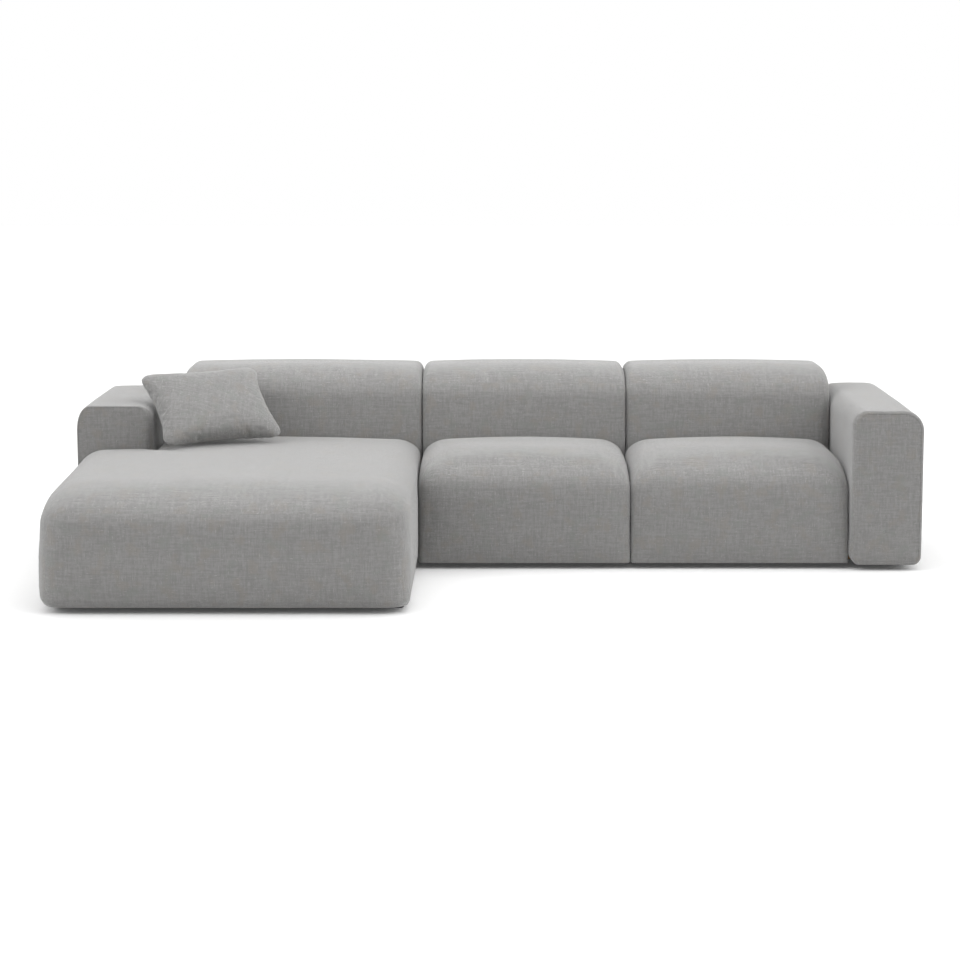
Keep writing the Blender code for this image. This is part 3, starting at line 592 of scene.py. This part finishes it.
def seat(unit, seed):
    low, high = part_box(f"{unit}_seat")
    edges = [SEAT_FRONT_EDGE, SEAT_SIDE_EDGE, HIDDEN_EDGE, SEAT_SIDE_EDGE]
    radii = [SEAT_CORNER, SEAT_CORNER, HIDDEN_EDGE, HIDDEN_EDGE]
    shoulders = [SEAT_SHOULDER, SEAT_SHOULDER, HIDDEN_EDGE, HIDDEN_EDGE]
    pattern = Pattern(rectangle(low, high), edges, radii, shoulders)
    swell = swelling(low, high, SEAT_CROWN, (JOINT_SWELL, JOINT_SWELL, FRONT_SWELL, 0.0), seed)

    def warp(point):
        return hung(swell(point), low, HEM_DROP)

    under = turned_under(f"{unit}_dust_cloth", low, high)
    piece = block(f"{unit}_seat_cover", pattern, low.z, high.z, HEM_EDGE, under, warp)
    stuffed(piece, low, high, SHELL_SIZE, COVER_PRESSURE, COVER_GIVE, low.z + 2 * HEM_EDGE)
    return finish_piece(piece, f"{unit}_seat", "sofa", cover_fabric)


seat("middle", 1.0)
seat("right", 2.0)

# %% [markdown]
# The chaise seat is as wide as the arm behind it and steps back beside it, so its outline has six
# corners. It narrows a little towards its front, and it gives way a little under the loose cushion.

# %% Chaise seat
CHAISE_CORNER = 0.085
CHAISE_SHOULDER = 0.12
CHAISE_HEM_EDGE = 0.042
CHAISE_INNER_EDGE = 0.04
CHAISE_OUTER_EDGE = 0.11
CHAISE_TAPER = 0.04
SAG_DEPTH = 0.003
SAG_PLACE = Vector((-1.16, 0.27))
SAG_RADIUS = 0.26

arm_low, arm_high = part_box("chaise_arm")
chaise_low, chaise_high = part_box("chaise_seat")


def chaise_outline():
    x0, x1 = arm_low.x, chaise_high.x
    inner_x, step_y = arm_high.x, arm_low.y - 0.0006
    front, rear = chaise_low.y, chaise_high.y
    return [(x0, front), (x1, front), (x1, rear), (inner_x, rear), (inner_x, step_y), (x0, step_y)]


def chaise_seat():
    low, high = Vector((arm_low.x, chaise_low.y, chaise_low.z)), chaise_high
    draw = (SIDE_SWELL, JOINT_SWELL, FRONT_SWELL, 0.0)
    swell = swelling(low, high, SEAT_CROWN, draw, 3.0)
    step_y = arm_low.y

    def warp(point):
        ahead = max(0.0, (step_y - point.y) / (step_y - low.y))
        swollen = swell(point)
        swollen.x += CHAISE_TAPER * ahead * (high.x - point.x) / (high.x - low.x)
        near = math.exp(-((point.xy - SAG_PLACE).length_squared) / SAG_RADIUS**2)
        swollen.z -= SAG_DEPTH * near * max(0.0, point.z / high.z) ** 4
        return hung(swollen, low, CHAISE_HEM_DROP)

    edges = [SEAT_FRONT_EDGE, SEAT_SIDE_EDGE, HIDDEN_EDGE, CHAISE_INNER_EDGE, HIDDEN_EDGE, CHAISE_OUTER_EDGE]
    radii = [CHAISE_CORNER, CHAISE_CORNER, HIDDEN_EDGE, HIDDEN_EDGE, HIDDEN_EDGE, SEAT_CORNER]
    shoulders = [CHAISE_SHOULDER, CHAISE_SHOULDER, HIDDEN_EDGE, HIDDEN_EDGE, HIDDEN_EDGE, SEAT_CORNER]
    centre = Vector(((arm_high.x + high.x) / 2, (low.y + step_y) / 2))
    pattern = Pattern(chaise_outline(), edges, radii, shoulders, centre)
    front, right, rear, left = turned_under("chaise_dust_cloth", low, high)
    under = [front, right, 0.001, 0.001, 0.001, left]
    piece = block("chaise_seat_cover", pattern, low.z, high.z, CHAISE_HEM_EDGE, under, warp)
    stuffed(piece, low, high, SHELL_SIZE, COVER_PRESSURE, COVER_GIVE, low.z + CHAISE_HEM_EDGE)
    return finish_piece(piece, "chaise_seat", "sofa", cover_fabric)


chaise_seat_cover = chaise_seat()

# %% [markdown]
# ## Backs
#
# The backs are upright blocks. Their fronts lean back by a few centimetres towards the top and end in a
# wide curve, while the edges at the joints are tighter. The chaise's back draws away from the arm at its
# upper left end.

# %% Backs
BACK_CROWN = 0.008
BACK_LEAN = 0.035
BACK_FRONT_EDGE = (0.20, 0.12)
BACK_GIVE = 0.0015
BACK_REAR_EDGE = 0.05
BACK_JOINT_EDGE = 0.035
BACK_END_EDGE = 0.048
BACK_CORNER = 0.03
BACK_END_CORNER = 0.05
BACK_END_SHOULDER = 0.05
BACK_END_TAPER = 0.068
TAPER_RISE = 0.19


def back(unit, left_x, ends, seed, taper=0.0):
    """ends says for the left and the right side whether it is a free end, which is rounder than a joint."""
    low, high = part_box(f"{unit}_back")
    low.x = left_x
    seat_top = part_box("middle_seat")[1].z
    swell = swelling(low, high, BACK_CROWN, (JOINT_SWELL, JOINT_SWELL, JOINT_SWELL, SIDE_SWELL), seed)

    def warp(point):
        lean = max(0.0, (point.z - seat_top) / (high.z - seat_top))
        drawn = min(1.0, max(0.0, (point.z - seat_top) / TAPER_RISE))
        swollen = swell(point)
        swollen.x += taper * drawn * (high.x - point.x) / (high.x - low.x)
        swollen.y += BACK_LEAN * lean * (high.y - point.y) / (high.y - low.y)
        return swollen

    left_edge, right_edge = (BACK_END_EDGE if end else BACK_JOINT_EDGE for end in ends)
    left_corner, right_corner = (BACK_END_CORNER if end else BACK_CORNER for end in ends)
    left_shoulder, right_shoulder = (BACK_END_SHOULDER if end else BACK_CORNER for end in ends)
    edges = [BACK_FRONT_EDGE, right_edge, BACK_REAR_EDGE, left_edge]
    radii = [left_corner, right_corner, BACK_CORNER, BACK_CORNER]
    shoulders = [left_shoulder, right_shoulder, right_shoulder, left_shoulder]
    pattern = Pattern(rectangle(low, high), edges, radii, shoulders)
    under = turned_under(f"{unit}_dust_cloth", low, high)
    piece = block(f"{unit}_back_cover", pattern, low.z, high.z, HEM_EDGE, under, warp)
    stuffed(piece, low, high, SHELL_SIZE, COVER_PRESSURE, BACK_GIVE, low.z + 2 * HEM_EDGE)
    return finish_piece(piece, f"{unit}_back", "sofa", cover_fabric)


back("chaise", arm_high.x, (True, False), 4.0, BACK_END_TAPER)
back("middle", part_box("middle_back")[0].x, (False, False), 5.0)
back("right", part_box("right_back")[0].x, (False, True), 6.0)

# %% [markdown]
# ## Arms
#
# An arm is a slab whose cover has a separate panel at the front. The sewn edge between them is crisp
# along the top and the outer side, and soft on the side that faces the seat. Its shape is easiest as
# sections from front to rear: each is the arm's rounded outline, and the first ones close round the
# front edge, with a groove where the panel is sewn in.

# %% Arms
ARM_CROWN = 0.006
ARM_TOP_INNER = 0.055
ARM_HEM_INNER = 0.04
ARM_HEM_OUTER = 0.04
ARM_GIVE = 0.002
PANEL_EDGE_INNER = 0.032
SEAM_DEPTH = 0.0018
SEAM_REACH = 0.004
ARM_REAR_EDGE = 0.03
SECTION_STEP = 0.022
PANEL_SHARES = (0.08, 0.2, 0.35, 0.5, 0.64, 0.76, 0.86, 0.94)


def section(x_inner, x_outer, low, high, top_outer, top_inner):
    """Points round an arm's outline in X and Z, each with its outward direction.

    top_outer is the reach and the fall of the outer top corner, which is oval.
    """
    way = 1.0 if x_outer > x_inner else -1.0
    corners = (
        (x_outer, low, (ARM_HEM_OUTER, ARM_HEM_OUTER), -90),
        (x_outer, high, top_outer, 0),
        (x_inner, high, (top_inner, top_inner), 90),
        (x_inner, low, (ARM_HEM_INNER, ARM_HEM_INNER), 180),
    )
    arcs = []
    for x, z, (reach, fall), start in corners:
        across = 1.0 if x == x_outer else -1.0
        upward = 1.0 if z == high else -1.0
        centre = Vector((x - way * across * reach, z - upward * fall))
        arc = []
        for step in range(ARC_STEPS + 1):
            angle = math.radians(start + 90 * step / ARC_STEPS)
            cosine, sine = math.cos(angle), math.sin(angle)
            outward = Vector((cosine * way * fall, sine * reach)).normalized()
            arc.append((centre + Vector((cosine * way * reach, sine * fall)), outward))
        arcs.append(arc)
    points = []
    for arc, following in zip(arcs, arcs[1:] + arcs[:1]):
        points += arc
        start, end = arc[-1], following[0]
        steps = max(3, math.ceil((end[0] - start[0]).length / SECTION_STEP))
        points += [(start[0].lerp(end[0], i / steps), start[1]) for i in range(1, steps)]
    return points


class Arm:
    """Makes the sections of one arm's cover."""

    def __init__(self, unit, outer_is_left, panel_edge, seed):
        self.low, self.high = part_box(f"{unit}_arm")
        self.cloth_low, self.cloth_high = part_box(f"{unit}_dust_cloth")
        self.way = -1.0 if outer_is_left else 1.0
        self.panel_edge = panel_edge
        sides = (SIDE_SWELL, JOINT_SWELL) if outer_is_left else (JOINT_SWELL, SIDE_SWELL)
        self.warp = swelling(self.low, self.high, ARM_CROWN, (*sides, JOINT_SWELL, SIDE_SWELL), seed)
        self.rings = []

    def facing_seat(self, outward):
        return max(0.0, -self.way * outward.x) ** 2

    def edge_radius(self, outward):
        return self.panel_edge + (PANEL_EDGE_INNER - self.panel_edge) * self.facing_seat(outward)

    def place(self, point, outward, y, inset):
        x, z = point.x - outward.x * inset, point.y - outward.y * inset
        over_cloth = self.cloth_low.x < x < self.cloth_high.x and self.cloth_low.y < y < self.cloth_high.y
        if outward.y < -0.99 and over_cloth:
            return self.warp(Vector((x, y, UNDERSIDE)))
        return hung(self.warp(Vector((x, y, z))), self.low, HEM_DROP)

    def ring(self, outline, depth, inset):
        """A ring whose depth and inset follow from the radius of the front edge at each point."""
        ring = []
        for point, outward in outline:
            radius = self.edge_radius(outward)
            ring.append(self.place(point, outward, self.low.y + depth(radius, outward), inset(radius)))
        self.rings.append(ring)

    def panel(self, outline):
        """The front panel, from its middle line to the groove of its seam."""
        half_x, top, bottom = (self.high.x - self.low.x) / 2, self.high.z, self.low.z
        for share in PANEL_SHARES:
            ring = []
            for point, outward in outline:
                radius = self.edge_radius(outward) + SEAM_REACH
                edge = Vector((point.x - outward.x * radius, point.y - outward.y * radius))
                spine = Vector((self.low.x + half_x, min(max(edge.y, bottom + half_x), top - half_x)))
                spot = spine.lerp(edge, share)
                ring.append(hung(self.warp(Vector((spot.x, self.low.y, spot.y))), self.low, HEM_DROP))
            self.rings.append(ring)
        for reach, sunk in ((1.0, 0.0), (0.35, 0.45), (0.0, 1.0), (-0.3, 0.5)):
            self.ring(
                outline,
                lambda radius, outward: sunk * SEAM_DEPTH * (1 - 0.8 * self.facing_seat(outward)),
                lambda radius: radius + reach * SEAM_REACH,
            )

    def turn(self, outline):
        """The front edge, from the seam round to the sides."""
        for step in range(1, EDGE_STEPS + 1):
            angle = step / EDGE_STEPS * math.pi / 2
            self.ring(
                outline,
                lambda radius, outward: radius * (1 - math.cos(angle)),
                lambda radius: radius * (1 - math.sin(angle)),
            )

    def length(self, outline):
        """The sides and the top, and the rear edge that closes them."""
        start, end = self.low.y + PANEL_EDGE_INNER, self.high.y - ARM_REAR_EDGE
        count = math.ceil((end - start) / SECTION_STEP)
        for step in range(1, count + 1):
            y = start + (end - start) * step / count
            self.rings.append([self.place(point, outward, y, 0.0) for point, outward in outline])
        for step in range(1, EDGE_STEPS + 1):
            angle = step / EDGE_STEPS * math.pi / 2
            y, inset = end + ARM_REAR_EDGE * math.sin(angle), ARM_REAR_EDGE * (1 - math.cos(angle))
            inset = min(inset, ARM_HEM_OUTER)
            self.rings.append([self.place(point, outward, y, inset) for point, outward in outline])
        last = self.rings[-1]
        rear = sum(last, Vector()) / len(last)
        self.rings += [[rear.lerp(point, share) for point in last] for share in (0.85, 0.6, 0.3, 0.1)]


def arm_cover(unit, outer_is_left, top_outer, top_inner, panel_edge, seed, press=None):
    """The cover of an arm. press lowers its top where the cushion leans on it."""
    arm = Arm(unit, outer_is_left, panel_edge, seed)
    low, high = arm.low, arm.high
    x_outer, x_inner = (low.x, high.x) if outer_is_left else (high.x, low.x)
    outline = section(x_inner, x_outer, low.z, high.z, top_outer, top_inner)
    arm.panel(outline)
    arm.turn(outline)
    arm.length(outline)
    rings = arm.rings[::-1] if arm.way > 0 else arm.rings
    piece = skin(f"{unit}_arm_cover", rings)
    stuffed(piece, low, high, SHELL_SIZE, COVER_PRESSURE, ARM_GIVE, low.z + 2 * HEM_EDGE)
    if press:
        for vertex in piece.data.vertices:
            vertex.co = press(vertex.co)
    return finish_piece(piece, f"{unit}_arm", "sofa", cover_fabric)


# %% [markdown]
# The cushion leans on the short arm and has pressed a soft crease into its top. The crease is a narrow
# valley along a line, which fades out at both ends.

# %% The arms' covers
CREASE = (Vector((-1.43, 0.585)), Vector((-1.322, 0.36)))
CREASE_DEPTH = 0.006
CREASE_WIDTH = 0.014


def press(point):
    start, end = CREASE
    share = (point.xy - start).dot(end - start) / (end - start).length_squared
    beside = (point.xy - start.lerp(end, share)).length
    fade = math.sin(math.pi * min(max(share, 0.0), 1.0)) ** 0.6
    on_top = max(0.0, (point.z - arm_high.z + ARM_TOP_INNER) / ARM_TOP_INNER)
    return point - Vector((0, 0, CREASE_DEPTH * fade * on_top * math.exp(-((beside / CREASE_WIDTH) ** 2))))


arm_cover("chaise", True, (0.055, 0.10), 0.055, 0.007, 7.0, press)
arm_cover("right", False, (0.082, 0.082), 0.055, 0.013, 8.0)

# %% [markdown]
# ## Scatter cushion
#
# A loose cushion is two flat panels sewn together at their edges and stuffed. Cloth physics does the
# same: the thin form is blown up until its middle is full and its sides pull in between the corners.
#
# The seat then flattens it where it rests: each point that would sink into the seat's cover is lifted
# onto it.

# %% Scatter cushion
CUSHION_WIDTH = 0.49
CUSHION_DEPTH = 0.395
CUSHION_START = 0.095
CUSHION_CORNER = 0.05
CUSHION_PULL = 0.014
CUSHION_RISE = 0.012
CUSHION_LEAN = math.radians(51.5)
CUSHION_TURN = math.radians(25)
CUSHION_ROLL = math.radians(-1.6)
CUSHION_RINGS = 14
CUSHION_SHELL_SIZE = 0.006
CUSHION_PRESSURE = 4.0
CUSHION_GIVE = 0.03
REST_GAP = 0.0005


def cushion_form():
    """Two domed faces over an outline with rounded corners and sides that are drawn in."""
    half = Vector((CUSHION_WIDTH / 2, CUSHION_DEPTH / 2))
    corners = [(-half.x, -half.y), (half.x, -half.y), (half.x, half.y), (-half.x, half.y)]
    outline = []
    for point, *_ in rounded_ring(corners, [0.0] * 4, [CUSHION_CORNER] * 4):
        u, v = point.x / half.x, point.y / half.y
        x = point.x - CUSHION_PULL * u * abs(u) * (1 - v**2)
        y = point.y - CUSHION_PULL * v * abs(v) * (1 - u**2)
        outline.append(Vector((x, y, 0.0)))
    rings = []
    for face in (-1, 1):
        shares = [math.sin(math.pi / 2 * (step + 0.5) / CUSHION_RINGS) for step in range(CUSHION_RINGS)]
        for share in shares if face < 0 else shares[::-1]:
            rise = CUSHION_START / 2 * (1 - share**2.4) ** 0.62
            rings.append([Vector((p.x * share, p.y * share, face * rise)) for p in outline])
        if face < 0:
            rings.append(outline)
    return skin("scatter_cushion_cover", rings)


def blown_cushion(piece):
    """Gives the cushion the mesh of its blown-up shell."""
    shell = even_mesh(piece, CUSHION_SHELL_SIZE)
    start = [vertex.co.copy() for vertex in shell.data.vertices]
    end = blown_up(shell, CUSHION_PRESSURE, [], bending=0.15)
    for vertex, before, after in zip(shell.data.vertices, start, end):
        moved = after - before
        if moved.length > CUSHION_GIVE:
            moved *= CUSHION_GIVE / moved.length
        vertex.co = before + moved
    piece.data = shell.data
    piece.data.shade_smooth()
    bpy.data.objects.remove(shell)
    finer = piece.modifiers.new("finer", "SUBSURF")
    finer.levels = finer.render_levels = 1
    print("cushion cloth points:", len(start))


def rest_on(piece, support):
    """Lifts each point that would sink into the support onto its surface."""
    tree = BVHTree.FromObject(support, bpy.context.evaluated_depsgraph_get())
    lifted = 0
    for vertex in piece.data.vertices:
        hit, *_ = tree.ray_cast(vertex.co + Vector((0, 0, 1)), Vector((0, 0, -1)))
        if hit and vertex.co.z < hit.z + REST_GAP:
            vertex.co.z = hit.z + REST_GAP
            lifted += 1
    print("cushion points lifted onto the seat:", lifted)


cushion = cushion_form()
blown_cushion(cushion)
cushion_low, cushion_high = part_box("scatter_cushion")
pose = Euler((math.pi / 2 - CUSHION_LEAN, CUSHION_ROLL, CUSHION_TURN)).to_matrix()
for vertex in cushion.data.vertices:
    vertex.co = pose @ vertex.co + (cushion_low + cushion_high) / 2 + Vector((0, 0, CUSHION_RISE))
rest_on(cushion, chaise_seat_cover)
finish_piece(cushion, "scatter_cushion", "scatter_cushion", cushion_fabric_painted_shade)

# %% [markdown]
# ## The frame inside
#
# Under the covers are timber rails, plywood carcasses, elastic webbing and a black cloth, with steel
# hooks and plastic glides below. They show only from underneath or when a cover is taken off, so each
# keeps its solid and gets a finish of its own.


# %% Timber, plywood, webbing and fittings
def grained(name, pale, dark, stretch, roughness):
    """Wood: rings stretched along the board, and fine pores."""
    finish = Finish(name, Specular_IOR_Level=0.3)
    position = finish.node("ShaderNodeTexCoord", None, None, output=3)
    x, y, z = split(finish, position)
    grain = finish.noise(finish.point(x * stretch[0], y * stretch[1], z * stretch[2]), 1.0, 4.0)
    pores = finish.noise(finish.point(x * stretch[0] * 6, y * stretch[1] * 6, z * stretch[2] * 6), 1.0, 2.0)
    bands = (grain * 9.0).maths("SINE") * 0.25 + 0.5
    colour = finish.mix(bands * 0.7 + pores * 0.3, dark, pale)
    finish.feed("Base Color", colour)
    finish.feed("Roughness", roughness + pores * 0.15)
    finish.bump(pores, 0.0004, 0.4)
    return finish.material


def ribbed(name, colour, other, pitch):
    """Webbing and non-woven cloth: a fine rib with a little variation."""
    finish = Finish(name, Roughness=0.9, Sheen_Weight=0.1)
    u, v, face = cloth_axes(finish)
    rib = abs((u / pitch).maths("FRACT") * 2.0 - 1.0)
    cross = abs((v / pitch).maths("FRACT") * 2.0 - 1.0)
    blot = finish.noise(finish.point(u * 120, v * 120, face), 1.0, 3.0)
    finish.feed("Base Color", finish.mix(rib * 0.4 + blot * 0.6, colour, other))
    finish.bump(rib * 0.5 + cross * 0.5, 0.0006, 0.6)
    return finish.material


def moulded(name, colour, roughness, metallic, scale):
    """Moulded plastic or plated steel: an even colour with fine unevenness and handling marks."""
    finish = Finish(name, Metallic=metallic)
    position = finish.node("ShaderNodeTexCoord", None, None, output=3)
    grain = finish.noise(position, scale, 3.0)
    marks = finish.noise(position, scale / 9, 2.0)
    lighter = tuple(min(1.0, c * 1.3 + 0.01) for c in colour[:3]) + (1.0,)
    finish.feed("Base Color", finish.mix(finish.between(marks, 0.4, 0.7), colour, lighter))
    finish.feed("Roughness", roughness + grain * 0.2)
    finish.bump(grain, 0.0002, 0.3)
    return finish.material


timber_x = grained("timber_x", (0.62, 0.45, 0.27, 1), (0.45, 0.29, 0.15, 1), (3, 55, 55), 0.55)
timber_y = grained("timber_y", (0.62, 0.45, 0.27, 1), (0.45, 0.29, 0.15, 1), (55, 3, 55), 0.55)
plywood = grained("plywood", (0.72, 0.57, 0.38, 1), (0.55, 0.40, 0.24, 1), (4, 40, 18), 0.6)
webbing = ribbed("webbing", (0.08, 0.08, 0.085, 1), (0.17, 0.16, 0.16, 1), 0.004)
dust_cloth = ribbed("dust_cloth", (0.02, 0.02, 0.02, 1), (0.05, 0.05, 0.05, 1), 0.0016)
plastic = moulded("glide_plastic", (0.018, 0.018, 0.02, 1), 0.45, 0.0, 900)
steel = moulded("plated_steel", (0.55, 0.55, 0.56, 1), 0.28, 1.0, 700)

FINISH_OF = (
    ("left_rail", timber_y),
    ("right_rail", timber_y),
    ("arm_bearer", timber_y),
    ("rail", timber_x),
    ("frame", plywood),
    ("webbing", webbing),
    ("dust_cloth", dust_cloth),
    ("glide", plastic),
    ("hook", steel),
    ("catch_pin", steel),
)
dressed = 0
for name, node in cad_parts.items():
    for word, material in FINISH_OF:
        if word in name:
            for slot_of_node in node.material_slots:
                slot_of_node.material = material
            dressed += 1
            break
print("solids with a new finish:", dressed)

# %% [markdown]
# ## Studio
#
# The photograph is a studio picture on white. Light comes from nearly all sides, a little more from
# above and behind, and the floor is so pale that only the contact shadow shows. Suns with a wide angle
# give the same light over the whole floor. A faint glow of its own keeps the floor white, like the lit
# table of a product studio, and its light on the sofa is toned down, so that the fronts darken downwards.

# %% Floor and lights
FLOOR_SIZE = 60.0
FLOOR_GLOW = 0.03
FLOOR_BOUNCE = (0.60, 0.60, 0.60, 1.0)


def studio_floor():
    finish = Finish("studio_floor", Roughness=0.9, Specular_IOR_Level=0.1, Emission_Strength=FLOOR_GLOW)
    finish.shader.inputs["Emission Color"].default_value = (1.0, 1.0, 1.0, 1.0)
    position = finish.node("ShaderNodeTexCoord", None, None, output=3)
    speckle = finish.noise(position, 30.0, 2.0)
    seen = finish.node("ShaderNodeLightPath")
    paper = finish.mix(speckle, (0.95, 0.95, 0.95, 1), (0.97, 0.97, 0.97, 1))
    finish.feed("Base Color", finish.mix(seen, FLOOR_BOUNCE, paper))
    half = FLOOR_SIZE / 2
    mesh = bpy.data.meshes.new("studio_floor")
    mesh.from_pydata([(-half, -half, 0), (half, -half, 0), (half, half, 0), (-half, half, 0)], [], [(0, 1, 2, 3)])
    mesh.materials.append(finish.material)
    floor = bpy.data.objects.new("studio_floor", mesh)
    scene.collection.objects.link(floor)


def soft_sun(name, strength, spread, azimuth, elevation):
    """azimuth is measured from the front towards the right, and elevation above the floor."""
    light = bpy.data.objects.new(name, bpy.data.lights.new(name, "SUN"))
    light.data.energy = strength
    light.data.angle = math.radians(spread)
    a, e = math.radians(azimuth), math.radians(elevation)
    direction = Vector((math.sin(a) * math.cos(e), -math.cos(a) * math.cos(e), math.sin(e)))
    light.rotation_euler = direction.to_track_quat("Z", "Y").to_euler()
    scene.collection.objects.link(light)


def softbox(name, power, size, place):
    """A wide lamp near the sofa, whose light falls off from the arms to the seats and the floor."""
    light = bpy.data.objects.new(name, bpy.data.lights.new(name, "AREA"))
    light.data.shape = "RECTANGLE"
    light.data.size, light.data.size_y = size
    light.data.energy = power
    light.location = place
    scene.collection.objects.link(light)


studio_floor()
soft_sun("from_behind", 0.56, 60, 180, 50)
soft_sun("from_the_front", 0.42, 70, 10, 42)
soft_sun("from_the_left", 0.95, 50, -80, 30)
soft_sun("from_the_right", 1.2, 50, 80, 30)
softbox("softbox", 22, (4.4, 2.4), (0.0, 0.2, 2.9))

world = bpy.data.worlds.new("studio")
scene.world = world
world.use_nodes = True
background = world.node_tree.nodes["Background"]
seen = world.node_tree.nodes.new("ShaderNodeLightPath")
level = world.node_tree.nodes.new("ShaderNodeMapRange")
level.inputs["To Min"].default_value = 0.72
level.inputs["To Max"].default_value = 1.0
world.node_tree.links.new(seen.outputs["Is Camera Ray"], level.inputs["Value"])
world.node_tree.links.new(level.outputs["Result"], background.inputs["Strength"])
background.inputs["Color"].default_value = (1.0, 1.0, 1.0, 1.0)
